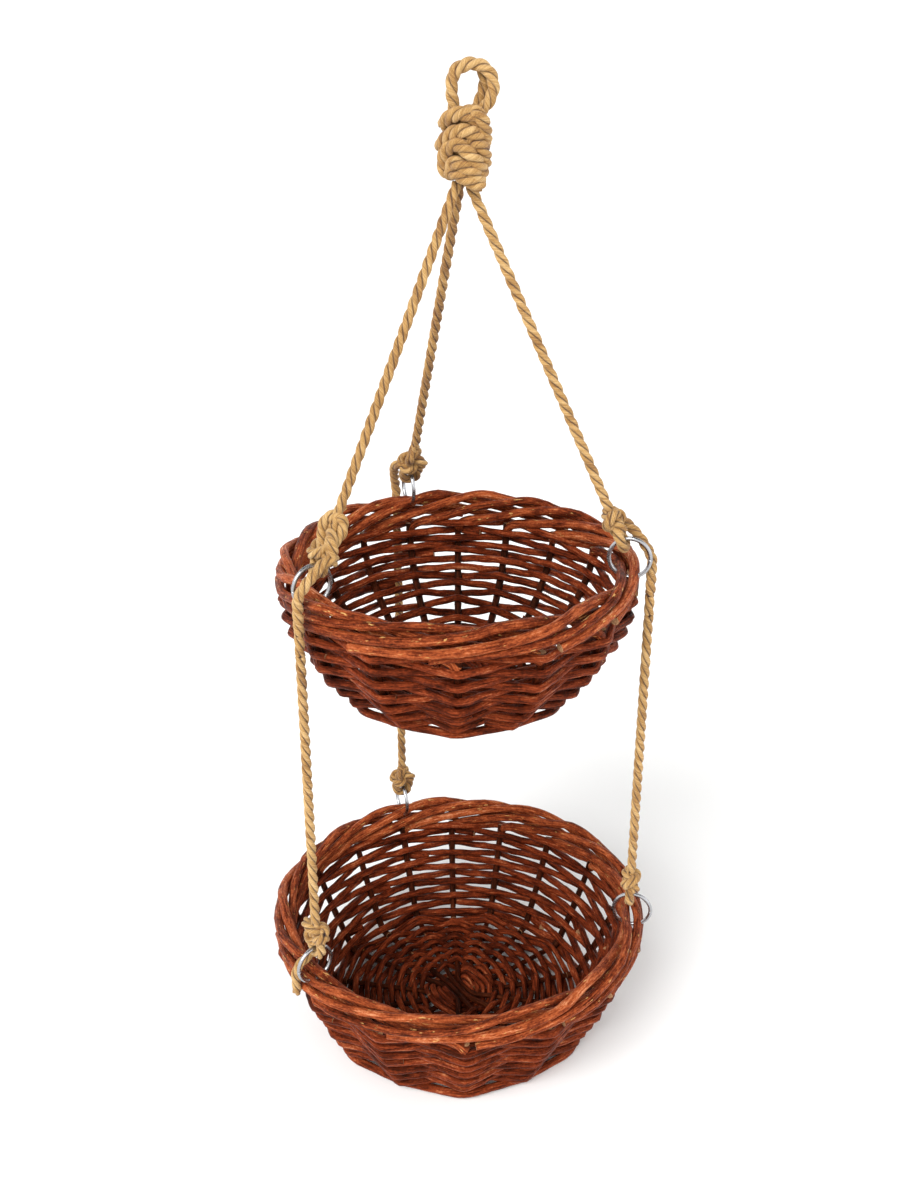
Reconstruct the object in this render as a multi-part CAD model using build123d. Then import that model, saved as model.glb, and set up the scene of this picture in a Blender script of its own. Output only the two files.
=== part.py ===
from build123d import *
import math
import os

# A two tier hanging fruit basket: two round willow bowls, one under the other,
# on three jute ropes that meet in a wrapped knot and a loop for a hook.
# The origin is the place inside the top of the loop where a hook bears. +Z is up and +X is right.

# Rope and clearances
rope_diameter = 7.0
clearance = 0.3          # between neighbouring rods
weave_gap = 0.8          # between a weaver and the stake it passes
swing_gap = 0.4          # round a rope end that swings in a knot
hinge_gap = 0.95         # between two rope ends that bend against each other
butt_gap = 0.5           # where one end of a woven round meets the other

# The loop and the crown knot
loop_lean = 9.0          # how far the loop's top stands to the right of the bowls' axis
loop_width = 33.0
loop_opening = 25.0      # from the hook's bearing point down to the crown knot
neck_spread = 8.4        # between the two feet of a loop strand
neck_pivot_drop = 20.0   # the loop gives at this depth under the hook's bearing point
neck_radius = 8.6        # the round under-side of the loop's feet
crown_offset = 3.0       # how far the crown knot stands to the right of the bowls' axis
crown_diameter = 34.0
crown_height = 45.0
crown_turns = 5
crown_pivot_drop = 4.0   # the legs swing about a point this far under the crown knot
leg_root_rise = 16.0     # and their centre lines meet this far over that point
leg_gather = 4.5         # how near the legs' centre lines come to each other's axis
socket_radius = 11.5
tail_length = 12.0       # the cut rope end at the foot of the crown knot

# The bowls
hook_to_upper_rim = 321.5
tier_spacing = 305.5     # upper rim to lower rim
upper_rim_radius = 132.0
upper_base_radius = 88.5
upper_height = 107.0
upper_bow = 10.0
lower_rim_radius = 150.0
lower_base_radius = 114.0
lower_height = 110.0
lower_bow = 2.0
lower_turn = 2.4         # degrees that the lower bowl is turned by, so its rings hang under the ropes

# The rods
stake_count = 16
stake_drift = 10.0       # degrees: the hand set stakes stand wider at the front than at the back
stake_diameter = 5.3
weaver_diameter = 5.5
round_pitch = 6.0        # between rounds, measured up the wall
border_rod_diameter = 7.2
border_span_count = 4    # stake spacings that one border rod covers
border_middle = 8.5      # from the rim's outside to the middle of the border
stake_top_drop = 26.0    # the stakes end this far under the rim
base_stick_diameter = 4.4
base_weaver_diameter = 4.2
base_pitch = 5.1
slath_pitch = 4.9        # between the parallel sticks in the middle of a base
slath_half = 10.5        # from the base's middle to where the sticks open out
tie_rounds = 4
slath_heading = 33.7
foot_rise = 7.3          # from the floor up to the middle of the base sticks
foot_offset = 4.0        # how far out and down from the stakes' turn the foot's round lies
collar_drop = 6.2        # from the stakes' tops down to the highest round
joint_inset = 6.0        # how far the floor sticks stop inside the foot's lowest round

# The rings, the knots on them and the ropes that hang from them
ring_diameter = 32.0
ring_wire = 3.0
ring_lift = 5.5          # a ring's middle over the rim
ring_run_count = 18
ring_slack = 0.9         # between a ring's wire and the rope that goes round it
coil_across = 11.6       # half widths of a knot's wraps, to the rope's middle
coil_along = 8.1
coil_step_count = 12
drop_gap = 3.5           # between the upper rim and the drop ropes outside it
drop_inset = 2.5         # how far inside a lower ring's middle its knot bears
bend_drop = 24.0         # the rope over the upper rim is stiff down to here
link_length = 14.0
tail_drop = 22.0         # the left knot's cut end hangs this far under the lower rim

ring_stakes = {"left": -2, "right": 3, "back": -7}
upper_wraps = {"left": 2, "right": 1, "back": 2}
lower_wrap_count = 1
rod_sides = 6
weaver_sides = 5
rope_sides = 8
bar_sides = 12

# Shares of the loop's own size: across it, and down its opening, from foot to foot
outer_loop_shares = [(-0.46, -0.78), (-0.5, -0.4), (-0.42, -0.06), (-0.2, 0.1), (0.0, 0.14),
              (0.22, 0.1), (0.42, -0.08), (0.5, -0.4), (0.36, -0.78)]
inner_loop_shares = [(-0.46, -0.78), (-0.5, -0.4), (-0.44, -0.06), (-0.22, 0.1), (0.0, 0.14),
              (0.16, 0.08), (0.28, -0.12), (0.28, -0.42), (0.16, -0.78)]

# A border rod's path in the rim's section, a point at each half stake spacing:
# up the outside, over the top and down the inside, in rod diameters from the rim's outer top corner
border_section_shares = [(-0.5, -3.056), (-0.5, -2.5), (-0.5, -1.986), (-0.583, -0.903), (-1.181, -0.5),
                  (-1.778, -0.903), (-1.861, -1.986), (-1.861, -2.5), (-1.861, -3.056)]

# A ring knot's wrapping end on its way over the upper rim, in rope diameters:
# outward of the rim, sideways and up, and then the turn outward of the drop rope's line
over_rim_shares = [(-1.571, 1.657, 3.571), (-0.143, 1.357, 2.143)]
turn_down_shares = (-0.114, 0.971, 0.571)

# The left knot's cut end over the lower rim, in rope diameters: outward of the rim and up
tail_over_rim_shares = [(-1.0, 0.514), (-0.086, 0.343), (0.443, -0.429)]

# Places that follow from the sizes
rope_radius = rope_diameter / 2
drop_radius = upper_rim_radius + rope_radius + drop_gap
axis_x = -loop_lean
crown_x = axis_x + crown_offset
crown_top = -loop_opening
crown_bottom = crown_top - crown_height
crown_pivot = Vector(crown_x, 0, crown_bottom - crown_pivot_drop)
leg_root = crown_pivot + Vector(0, 0, leg_root_rise)
upper_rim_z = -hook_to_upper_rim
lower_rim_z = upper_rim_z - tier_spacing
ring_radius = (ring_diameter - ring_wire) / 2
weave_offset = (stake_diameter + weaver_diameter) / 2 + weave_gap
up = Vector(0, 0, 1)


# The stakes' places round a bowl, counted from the front
def stake_azimuth(place, turn=0.0):
    even = 360 / stake_count * place
    return 270 + even + stake_drift * math.sin(math.radians(even)) + turn


# A point at a radius and azimuth round the bowls' axis, moved sideways by an offset
def polar(radius, azimuth, z, sideways=0.0):
    angle = math.radians(azimuth)
    return Vector(axis_x + radius * math.cos(angle) - sideways * math.sin(angle),
                  radius * math.sin(angle) + sideways * math.cos(angle), z)


# A bent rod: a polygon carried along straight runs with mitred corners
def rod(points, diameter, corners=rod_sides):
    path = Wire.make_polygon(points, close=False)
    start = Plane(origin=points[0], z_dir=points[1] - points[0])
    return sweep(start * RegularPolygon(diameter / 2, corners), path=path, transition=Transition.RIGHT)


# One woven round over and under the stakes. Its two ends nearly meet, midway between two of them.
def woven_round(turn, place_point, diameter):
    seam = 5 * turn % stake_count
    points = [place_point(seam + 1 + number) for number in range(stake_count)]
    middle = (points[0] + points[-1]) / 2
    step = (points[0] - points[-1]).normalized() * (butt_gap / 2)
    return rod([middle + step] + points + [middle - step], diameter, weaver_sides)


# The side of the stakes on which a round passes: each round starts on the other side
def side_of(place, turn):
    return 1 if (place + turn) % 2 else -1


# A bowl's profile, and each set of rods that it is woven from
class Bowl:
    def __init__(self, rim_radius, rim_z, base_radius, height, bow, turn):
        self.rim_radius = rim_radius
        self.rim_z = rim_z
        self.turn = turn
        self.bow = bow
        self.foot_radius = base_radius - weave_offset - weaver_diameter / 2
        self.foot_z = rim_z - height + foot_rise
        self.top_radius = rim_radius - border_middle
        self.top_z = rim_z - stake_top_drop
        self.reach = self.top_radius - self.foot_radius
        self.rise = self.top_z - self.foot_z
        self.wall_length = math.hypot(self.reach, self.rise)
        self.floor_radius = self.foot_radius - joint_inset - weaver_diameter / 2

    def azimuth(self, place):
        return stake_azimuth(place, self.turn)

    # A point of the wall: a share of the way up it, and moved off it along its normal
    def wall_point(self, place, share, offset=0.0):
        radius = self.foot_radius + self.reach * share + 4 * self.bow * share * (1 - share)
        slope = Vector(self.reach + 4 * self.bow * (1 - 2 * share), self.rise).normalized()
        return polar(radius + slope.Y * offset, self.azimuth(place),
                     self.foot_z + self.rise * share - slope.X * offset)

    # Each stake lies in the floor, turns up at the foot and stops under the border
    def stakes(self):
        heights = (0.0, 0.25, 0.5, 0.75, 1.0)
        return [rod([polar(self.floor_radius, self.azimuth(number), self.foot_z)]
                    + [self.wall_point(number, share) for share in heights], stake_diameter)
                for number in range(stake_count)]

    # One round lies outside the stakes' turn at the foot, and the others go in and out up the wall
    def wall_rounds(self):
        first = (weaver_diameter + stake_diameter) / 2 / self.wall_length
        last = 1 - collar_drop / self.wall_length
        count = int((last - first) * self.wall_length / round_pitch) + 1
        step = (last - first) / (count - 1)
        rods = [woven_round(0, lambda place: polar(self.foot_radius + foot_offset, self.azimuth(place),
                                                   self.foot_z - foot_offset), weaver_diameter)]
        for turn in range(count):
            share = first + step * turn
            rods.append(woven_round(
                turn, lambda place: self.wall_point(place, share, side_of(place, turn) * weave_offset), weaver_diameter))
        return rods

    # Each border rod rises outside, crosses over the top and ends inside
    def border(self):
        rods = []
        for number in range(stake_count):
            points = []
            for step, (out, rise) in enumerate(border_section_shares):
                place = number + step * border_span_count / (len(border_section_shares) - 1)
                points.append(polar(self.rim_radius + out * border_rod_diameter, self.azimuth(place),
                                    self.rim_z + rise * border_rod_diameter))
            rods.append(rod(points, border_rod_diameter))
        return rods

    # A point of a floor stick: four lie side by side each way in the middle, one set over the
    # other, and from a reach of slath_half they run out as rays to the stakes
    def ray_point(self, place, reach, rise=0.0):
        place = place % stake_count
        group, number = divmod(place, stake_count // 4)
        heading = math.radians(slath_heading + 90 * (group - 1))
        along = Vector(math.cos(heading), math.sin(heading), 0)
        layer = (base_stick_diameter + clearance) / 2 * (1 - 2 * (group % 2))
        corner = (Vector(axis_x, 0, self.foot_z + layer) + along * min(reach, slath_half)
                  + up.cross(along) * (slath_pitch * (number - 1.5)))
        share = max(reach - slath_half, 0) / (self.floor_radius - slath_half)
        end = polar(self.floor_radius, self.azimuth(place), self.foot_z)
        return corner + (end - corner) * share + up * rise

    def base_sticks(self):
        rods = []
        for group in (0, 1):
            for number in range(4):
                near = 4 * group + number
                far = near + 11 - 2 * number
                rods.append(rod([self.ray_point(near, self.floor_radius - clearance), self.ray_point(near, slath_half),
                                 self.ray_point(far, slath_half), self.ray_point(far, self.floor_radius - clearance)],
                                base_stick_diameter))
        return rods

    # The first floor rounds tie the sticks four by four, and the others take them one by one
    def base_rounds(self):
        offset = (base_stick_diameter + base_weaver_diameter) / 2 + weave_gap
        rods = []
        for turn in range(tie_rounds):
            reach = slath_half + base_weaver_diameter + base_pitch * turn
            rods.append(woven_round(4 * turn, lambda place: self.ray_point(
                place, reach, offset * (-1 if place % 8 < 4 else 1)), base_weaver_diameter))
        first = slath_half + base_weaver_diameter + base_pitch * tie_rounds
        last = self.floor_radius - base_weaver_diameter / 2 - clearance
        count = round((last - first) / base_pitch) + 1
        for turn in range(count):
            reach = first + (last - first) * turn / (count - 1)
            rods.append(woven_round(turn, lambda place: self.ray_point(
                place, reach, offset * side_of(place, turn)), base_weaver_diameter))
        return rods

    def ring_centre(self, side):
        return polar(self.top_radius, self.azimuth(ring_stakes[side]), self.rim_z + ring_lift)


# A ring stands in the upright plane through the bowls' axis
def ring(centre, outward):
    points = []
    for number in range(ring_run_count + 1):
        angle = 2 * math.pi * number / ring_run_count
        points.append(centre + outward * (ring_radius * math.cos(angle)) + up * (ring_radius * math.sin(angle)))
    section = Plane(origin=points[0], z_dir=points[1] - points[-2]) * RegularPolygon(ring_wire / 2, rod_sides)
    return sweep(section, path=Wire.make_polygon(points[:-1], close=True), transition=Transition.RIGHT)


# A hitch: the rope goes round the ring's wire as an eye, and wraps hold its two strands together.
# It gives back its two solids and how far its top stands from the ring's wire.
def knot(bearing, across, way, wraps, lead=()):
    along = way.cross(across) * -1
    strand = rope_radius + clearance / 2
    reach = ring_wire / 2 + ring_slack + rope_radius
    eye_top = 2.9 * rope_radius
    pitch = rope_diameter + 2 * clearance
    end = eye_top + pitch * wraps + rope_radius
    outline = [(strand, end), (strand, eye_top), (reach, rope_radius)]
    for step in range(5):
        angle = math.pi * step / 4
        outline.append((reach * math.cos(angle), -reach * math.sin(angle)))
    outline += [(-reach, rope_radius), (-strand, eye_top), (-strand, end)]
    eye = rod([bearing + across * x + way * z for x, z in outline], rope_diameter, rope_sides)
    coil = []
    for step in range(coil_step_count * wraps + 1):
        angle = 2 * math.pi * step / coil_step_count
        coil.append(bearing + way * (eye_top + pitch * step / coil_step_count)
                    + across * (coil_across * math.cos(angle)) - along * (coil_along * math.sin(angle)))
    return [eye, rod(list(lead) + coil, rope_diameter)], end


nodes = {}
places = {}

# The loop's two strands of rope lie side by side and end in round feet that swing in the crown knot
neck_axis_z = -neck_pivot_drop
block = 4 * loop_width
foot_trim = (Pos(0, 0, neck_axis_z - block / 2) * Box(block, block, block)
             - Pos(0, 0, neck_axis_z) * Rot(0, 90, 0) * Cylinder(neck_radius, block))
foot_z = neck_axis_z - neck_radius - rope_radius
for name, outline, side in (("hanging_loop_front", outer_loop_shares, -1), ("hanging_loop_back", inner_loop_shares, 1)):
    depth = side * (rope_radius + clearance / 2)
    span = loop_width - rope_diameter
    line = [Vector(crown_x - neck_spread / 2, depth, foot_z)]
    line += [Vector(span * x, depth, loop_opening * z) for x, z in outline]
    line.append(Vector(crown_x + neck_spread / 2, depth, foot_z))
    nodes[name] = [rod(line, rope_diameter, rope_sides) - foot_trim]

# The crown knot: wraps of rope round a core of the strands that pass through it
coil_radius = crown_diameter / 2 - rope_radius
core_radius = coil_radius - rope_radius - 2 * clearance
wrap_pitch = (crown_height - rope_diameter) / crown_turns
wrap_step_count = 12
wrap_line = [Vector(crown_x + coil_radius + rope_radius / 2, -tail_length, crown_bottom + rope_radius / 2)]
for step in range(wrap_step_count * crown_turns + 1):
    angle = 2 * math.pi * step / wrap_step_count
    wrap_line.append(Vector(crown_x + coil_radius * math.cos(angle), coil_radius * math.sin(angle),
                            crown_bottom + rope_radius + wrap_pitch * step / wrap_step_count))
socket = Pos(crown_pivot) * Sphere(socket_radius + swing_gap)
trough = Pos(0, 0, neck_axis_z) * Rot(0, 90, 0) * Cylinder(neck_radius + swing_gap, block)
core = Pos(crown_x, 0, crown_bottom) * extrude(RegularPolygon(core_radius, rope_sides), crown_height)
nodes["crown_wraps"] = [rod(wrap_line, rope_diameter) - socket - trough]
nodes["crown_core"] = [core - socket - trough]
places["crown_swing"] = Vector(crown_x, 0, neck_axis_z)
places["cradle_swing"] = crown_pivot

upper = Bowl(upper_rim_radius, upper_rim_z, upper_base_radius, upper_height, upper_bow, 0.0)
lower = Bowl(lower_rim_radius, lower_rim_z, lower_base_radius, lower_height, lower_bow, lower_turn)

for side, stake in ring_stakes.items():
    # The upper ring, its knot, and the leg that runs from the knot straight up to the crown
    azimuth = upper.azimuth(stake)
    outward = polar(1, azimuth, 0) - polar(0, azimuth, 0)
    sideways = up.cross(outward)
    centre = upper.ring_centre(side)
    nodes["upper_ring_" + side] = [ring(centre, outward)]
    places["upper_ring_" + side] = centre
    way = (leg_root - centre).normalized()
    flat = (way - sideways * way.dot(sideways)).normalized()
    bearing = centre + flat * ring_radius
    way = (leg_root - bearing).normalized()
    across = (sideways - way * sideways.dot(way)).normalized()

    # The knot's wrapping end runs out over the rim and turns down into the drop rope's line
    drop_azimuth = azimuth + lower_turn
    bend_end = polar(drop_radius, drop_azimuth, upper_rim_z - bend_drop)
    lead = [bend_end, polar(drop_radius, drop_azimuth, upper_rim_z - rope_diameter)]
    for (out, offset, rise), start in ((turn_down_shares, drop_radius), (over_rim_shares[1], upper_rim_radius),
                                       (over_rim_shares[0], upper_rim_radius)):
        lead.append(polar(start + out * rope_diameter, azimuth, upper_rim_z + rise * rope_diameter,
                          offset * rope_diameter))
    solids, top = knot(bearing, across, way, upper_wraps[side], lead)
    nodes["upper_knot_" + side] = solids
    leg_top = leg_root - way * (leg_gather / math.sin(math.radians(way.get_angle(up))))
    leg_bottom = bearing + way * (top + clearance)
    nodes["rope_leg_" + side] = [rod([leg_bottom, leg_top], rope_diameter, bar_sides)]

    # The drop rope hangs in three parts that bend against each other: link, rope and lower knot
    ring_at = lower.ring_centre(side)
    lower_azimuth = lower.azimuth(stake)
    lower_out = polar(1, lower_azimuth, 0) - polar(0, lower_azimuth, 0)
    nodes["lower_ring_" + side] = [ring(ring_at, lower_out)]
    places["lower_ring_" + side] = ring_at
    pin = polar(lower.top_radius - drop_inset, lower_azimuth,
                ring_at.Z + math.sqrt(ring_radius ** 2 - drop_inset ** 2))
    solids, top = knot(pin, up.cross(lower_out), up, lower_wrap_count)
    nodes["lower_knot_" + side] = solids
    drop_bottom = pin + up * (top + hinge_gap)
    hang = (drop_bottom - bend_end).normalized()
    link_top = bend_end + hang * hinge_gap
    link_bottom = link_top + hang * link_length
    drop_top = link_bottom + hang * hinge_gap
    nodes["rope_link_" + side] = [rod([link_bottom, link_top], rope_diameter, bar_sides)]
    nodes["drop_rope_" + side] = [rod([drop_bottom, drop_top], rope_diameter, bar_sides)]
    places["link_" + side] = (bend_end + link_top) / 2
    places["drop_" + side] = (link_bottom + drop_top) / 2
    places["knot_" + side] = drop_bottom - up * (hinge_gap / 2)
    places["bowl_" + side] = pin

# The left knot's cut end lies over the lower rim
tail_azimuth = lower.azimuth(ring_stakes["left"])
tail_line = tail_over_rim_shares + [(tail_over_rim_shares[-1][0], -tail_drop / rope_diameter)]
nodes["rope_tail_left"] = [rod([polar(lower_rim_radius + out * rope_diameter, tail_azimuth,
                                      lower_rim_z + rise * rope_diameter, -rope_diameter * 1.3)
                                for out, rise in tail_line], rope_diameter, rope_sides)]

for name, bowl in (("upper", upper), ("lower", lower)):
    rounds = bowl.wall_rounds()
    third = math.ceil(len(rounds) / 3)
    nodes[name + "_stakes"] = bowl.stakes()
    nodes[name + "_rounds_low"] = rounds[:third]
    nodes[name + "_rounds_middle"] = rounds[third:2 * third]
    nodes[name + "_rounds_high"] = rounds[2 * third:]
    nodes[name + "_border"] = bowl.border()
    nodes[name + "_base_sticks"] = bowl.base_sticks()
    nodes[name + "_base_rounds"] = bowl.base_rounds()
    print(name, "wall rounds", len(rounds), "floor rounds", len(nodes[name + "_base_rounds"]))

os.makedirs("parts", exist_ok=True)
for name, solids in nodes.items():
    pieces = [solid for item in solids for solid in item.solids()]
    print(name, len(pieces), "solids")
    export_step(Compound(label=name, children=pieces), "parts/" + name + ".step")
for name, place in places.items():
    print(name, "at", round(place.X, 2), round(place.Y, 2), round(place.Z, 2))
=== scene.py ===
import bpy
import numpy as np
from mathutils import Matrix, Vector


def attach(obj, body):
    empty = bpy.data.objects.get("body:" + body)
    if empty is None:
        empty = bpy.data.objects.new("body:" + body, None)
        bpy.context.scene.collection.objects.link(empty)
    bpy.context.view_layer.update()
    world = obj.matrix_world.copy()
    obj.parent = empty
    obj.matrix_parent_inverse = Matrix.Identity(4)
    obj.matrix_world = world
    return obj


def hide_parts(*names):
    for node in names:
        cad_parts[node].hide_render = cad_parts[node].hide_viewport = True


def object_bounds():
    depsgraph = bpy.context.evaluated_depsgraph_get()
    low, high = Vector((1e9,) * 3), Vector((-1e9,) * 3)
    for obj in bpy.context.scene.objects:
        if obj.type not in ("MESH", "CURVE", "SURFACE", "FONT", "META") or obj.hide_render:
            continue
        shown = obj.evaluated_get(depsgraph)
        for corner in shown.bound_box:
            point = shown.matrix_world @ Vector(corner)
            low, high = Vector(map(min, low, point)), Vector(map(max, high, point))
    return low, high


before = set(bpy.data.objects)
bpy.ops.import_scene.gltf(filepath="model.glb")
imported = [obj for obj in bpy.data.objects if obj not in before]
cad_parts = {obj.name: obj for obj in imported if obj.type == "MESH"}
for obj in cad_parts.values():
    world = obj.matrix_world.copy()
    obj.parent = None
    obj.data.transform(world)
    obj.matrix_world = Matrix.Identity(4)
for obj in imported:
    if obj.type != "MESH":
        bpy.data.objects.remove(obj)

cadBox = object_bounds()
print("frame loaded:", len(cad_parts), "nodes")

# All lengths below are millimetres, in the model's own frame. meshOf turns them to metres.
mm = 0.001
rng = np.random.default_rng(7)

axisX = -9.0    # the bowls' axis stands this far to the left of the loop's top
upVector = np.array([0, 0, 1.0])


# Colours are sRGB hex values turned to linear.
def colour(hexValue, alpha=1.0):
    parts = np.array([int(hexValue[i:i + 2], 16) for i in (1, 3, 5)]) / 255
    linear = np.where(parts <= 0.04045, parts / 12.92, ((parts + 0.055) / 1.055) ** 2.4)
    return (*linear.tolist(), alpha)


# Adds a shader node, sets its properties and inputs, and links what is given as a socket. An
# input is named with _ for each space, or by its number after a _.
def addNode(tree, kind, settings=None, **inputs):
    node = tree.nodes.new(kind)
    for name, value in (settings or {}).items():
        setattr(node, name, value)
    for name, value in inputs.items():
        key = int(name[1:]) if name[0] == "_" and name[1:].isdigit() else name.replace("_", " ")
        socket = node.inputs[key]
        if isinstance(value, bpy.types.NodeSocket):
            tree.links.new(value, socket)
        else:
            socket.default_value = value
    return node


# An empty material with a principled shader on its output.
def newMaterial(name):
    material = bpy.data.materials.new(name)
    material.use_nodes = True
    tree = material.node_tree
    tree.nodes.clear()
    output = addNode(tree, "ShaderNodeOutputMaterial")
    shader = addNode(tree, "ShaderNodeBsdfPrincipled")
    tree.links.new(shader.outputs[0], output.inputs[0])
    return material, tree, shader


# Gives a ramp its stops: each is a position and a hex colour or a grey value.
def setRamp(node, stops):
    elements = node.color_ramp.elements
    while len(elements) < len(stops):
        elements.new(0.5)
    for element, (position, value) in zip(elements, stops):
        element.position = position
        element.color = colour(value) if isinstance(value, str) else (value, value, value, 1)
    return node


# Stained willow with its bark on: long thin fibres and cracks run along each rod, the stain pools
# dark between them, their edges catch a pale line, and knocks show the yellow wood. Dull wax sheen.
# The stakes' and floor sticks' colours are darker than the stain, as painted shade.
def barkMaterial(name, stainAndShade, nickSpan):
    material, tree, shader = newMaterial(name)
    along = addNode(tree, "ShaderNodeAttribute", {"attribute_name": "rodCoord"}).outputs["Vector"]
    tone = addNode(tree, "ShaderNodeAttribute", {"attribute_name": "rodTone"}).outputs["Fac"]

    def streaksAt(lengthwise, across, detail):
        stretched = addNode(tree, "ShaderNodeMapping", Vector=along, Scale=(lengthwise, across, across))
        return addNode(tree, "ShaderNodeTexNoise", Vector=stretched.outputs[0], Scale=1.0, Detail=detail,
                       Roughness=0.6).outputs["Fac"]

    fibres = streaksAt(85, 850, 6.0)      # 12 mm long and 1.2 mm wide
    blotches = streaksAt(45, 150, 3.0)    # 22 mm long and 7 mm wide
    grain = streaksAt(520, 900, 3.0)      # 2 mm long
    # A rod's own tone, then shares of each layer added to it
    mixed = addNode(tree, "ShaderNodeMath", {"operation": "MULTIPLY"}, _0=tone, _1=0.045).outputs[0]
    for share, source in ((0.3, grain), (0.36, blotches), (0.5, fibres)):
        mixed = addNode(tree, "ShaderNodeMath", {"operation": "MULTIPLY_ADD"},
                        _0=source, _1=share, _2=mixed).outputs[0]
    ramp = setRamp(addNode(tree, "ShaderNodeValToRGB", _0=mixed), list(zip((0.42, 0.54, 0.66, 0.82), stainAndShade)))
    # Nicks: spots three times as long as they are wide, where the wood shows
    nick = setRamp(addNode(tree, "ShaderNodeValToRGB", _0=streaksAt(120, 420, 3.0)),
                   list(zip(nickSpan, (0.0, 1.0))))
    withNicks = addNode(tree, "ShaderNodeMix", {"data_type": "RGBA"}, _0=nick.outputs[0], _6=ramp.outputs[0],
                        _7=colour("#c99a5c"))
    tree.links.new(withNicks.outputs[2], shader.inputs["Base Color"])
    rough = setRamp(addNode(tree, "ShaderNodeValToRGB", _0=fibres), [(0.3, 0.66), (0.7, 0.4)])
    tree.links.new(rough.outputs[0], shader.inputs["Roughness"])
    bump = addNode(tree, "ShaderNodeBump", Strength=1.0, Distance=0.0011, Height=fibres)
    tree.links.new(bump.outputs[0], shader.inputs["Normal"])
    shader.inputs["IOR"].default_value = 1.48
    shader.inputs["Specular IOR Level"].default_value = 0.16
    shader.inputs["Specular Tint"].default_value = colour("#e9b48a")
    return material


# Jute rope, laid from three strands: each strand's yarns show as fine slanting lines, worn
# places are paler, and the creases between the strands are painted dark brown as shade. Dry, with no gloss.
def ropeMaterial(name):
    material, tree, shader = newMaterial(name)
    along = addNode(tree, "ShaderNodeAttribute", {"attribute_name": "rodCoord"}).outputs["Vector"]
    creaseShade = addNode(tree, "ShaderNodeAttribute", {"attribute_name": "creaseShade"}).outputs["Fac"]
    yarns = addNode(tree, "ShaderNodeTexNoise",
                    Vector=addNode(tree, "ShaderNodeMapping", Vector=along, Scale=(90, 1500, 1500)).outputs[0],
                    Scale=1.0, Detail=4.0, Roughness=0.6)
    blotch = addNode(tree, "ShaderNodeTexNoise",
                     Vector=addNode(tree, "ShaderNodeMapping", Vector=along, Scale=(45, 120, 120)).outputs[0],
                     Scale=1.0, Detail=2.0, Roughness=0.5)
    tone = addNode(tree, "ShaderNodeAttribute", {"attribute_name": "rodTone"}).outputs["Fac"]
    # A strand's tone shifts its colour: at random, and darker by its rope's painted shade
    toneAndShade = addNode(tree, "ShaderNodeMath", {"operation": "MULTIPLY"}, _0=tone, _1=0.03).outputs[0]
    worn = addNode(tree, "ShaderNodeMath", {"operation": "MULTIPLY_ADD"},
                   _0=blotch.outputs["Fac"], _1=0.4, _2=toneAndShade)
    sand = addNode(tree, "ShaderNodeMath", {"operation": "MULTIPLY_ADD"}, _0=yarns.outputs["Fac"], _1=0.65,
                   _2=worn.outputs[0])
    ramp = setRamp(addNode(tree, "ShaderNodeValToRGB", _0=sand.outputs[0]),
                   [(0.38, "#7a5024"), (0.5, "#b08446"), (0.66, "#d6b27a")])
    # Painted shade: near the rope's middle, in the creases between the strands, the colour turns dark brown
    shade = setRamp(addNode(tree, "ShaderNodeValToRGB", _0=creaseShade), [(0.36, 0.0), (0.8, 1.0)])
    mixed = addNode(tree, "ShaderNodeMix", {"data_type": "RGBA"}, _0=shade.outputs[0], _6=colour("#3c1808"),
                    _7=ramp.outputs[0])
    tree.links.new(mixed.outputs[2], shader.inputs["Base Color"])
    bump = addNode(tree, "ShaderNodeBump", Strength=1.0, Distance=0.0009, Height=yarns.outputs["Fac"])
    tree.links.new(bump.outputs[0], shader.inputs["Normal"])
    shader.inputs["Roughness"].default_value = 0.82
    shader.inputs["Sheen Weight"].default_value = 0.15
    return material


# Nickel plated steel wire: bright, with soft scratches from the rope.
def ringMaterial(name):
    material, tree, shader = newMaterial(name)
    place = addNode(tree, "ShaderNodeTexCoord").outputs["Object"]
    scuffs = addNode(tree, "ShaderNodeTexNoise", Vector=place, Scale=900.0, Detail=3.0)
    rough = setRamp(addNode(tree, "ShaderNodeValToRGB", _0=scuffs.outputs["Fac"]), [(0.3, 0.2), (0.7, 0.34)])
    tree.links.new(rough.outputs[0], shader.inputs["Roughness"])
    shader.inputs["Base Color"].default_value = colour("#a9aaad")
    shader.inputs["Metallic"].default_value = 1.0
    return material


# The white wood of a cut rod end, a little grey at its pith.
def cutMaterial(name):
    material, tree, shader = newMaterial(name)
    place = addNode(tree, "ShaderNodeTexCoord").outputs["Object"]
    grain = addNode(tree, "ShaderNodeTexNoise", Vector=place, Scale=1500.0, Detail=2.0)
    ramp = setRamp(addNode(tree, "ShaderNodeValToRGB", _0=grain.outputs["Fac"]),
                   [(0.35, "#7a4f30"), (0.65, "#b58a60")])
    tree.links.new(ramp.outputs[0], shader.inputs["Base Color"])
    shader.inputs["Roughness"].default_value = 0.8
    return material


willowBark = barkMaterial("stainedWillowBark", ("#150402", "#4a180a", "#84371b", "#cb855a"), (0.73, 0.77))
# Painted shade: the stakes and floor sticks, which lie behind and between the weavers, get a darker bark than the
# stain alone
shadedStakeBark = barkMaterial("paintedShadeWillowBark", ("#0d0201", "#260b05", "#441809", "#703a22"), (0.8, 0.83))
borderBark = barkMaterial("knockedWillowBark", ("#200803", "#6a2a15", "#a9542d", "#e2a377"), (0.64, 0.69))
willowCut = cutMaterial("willowCutEnd")
juteRope = ropeMaterial("laidJuteRope")
nickelWire = ringMaterial("nickelPlatedWire")
print("materials ready")


# Unit vectors along the last axis.
def unit(vectors):
    return vectors / np.maximum(np.linalg.norm(vectors, axis=-1, keepdims=True), 1e-9)


# Tangents by central differences.
def tangents(path):
    return unit(np.gradient(path, axis=0))


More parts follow.
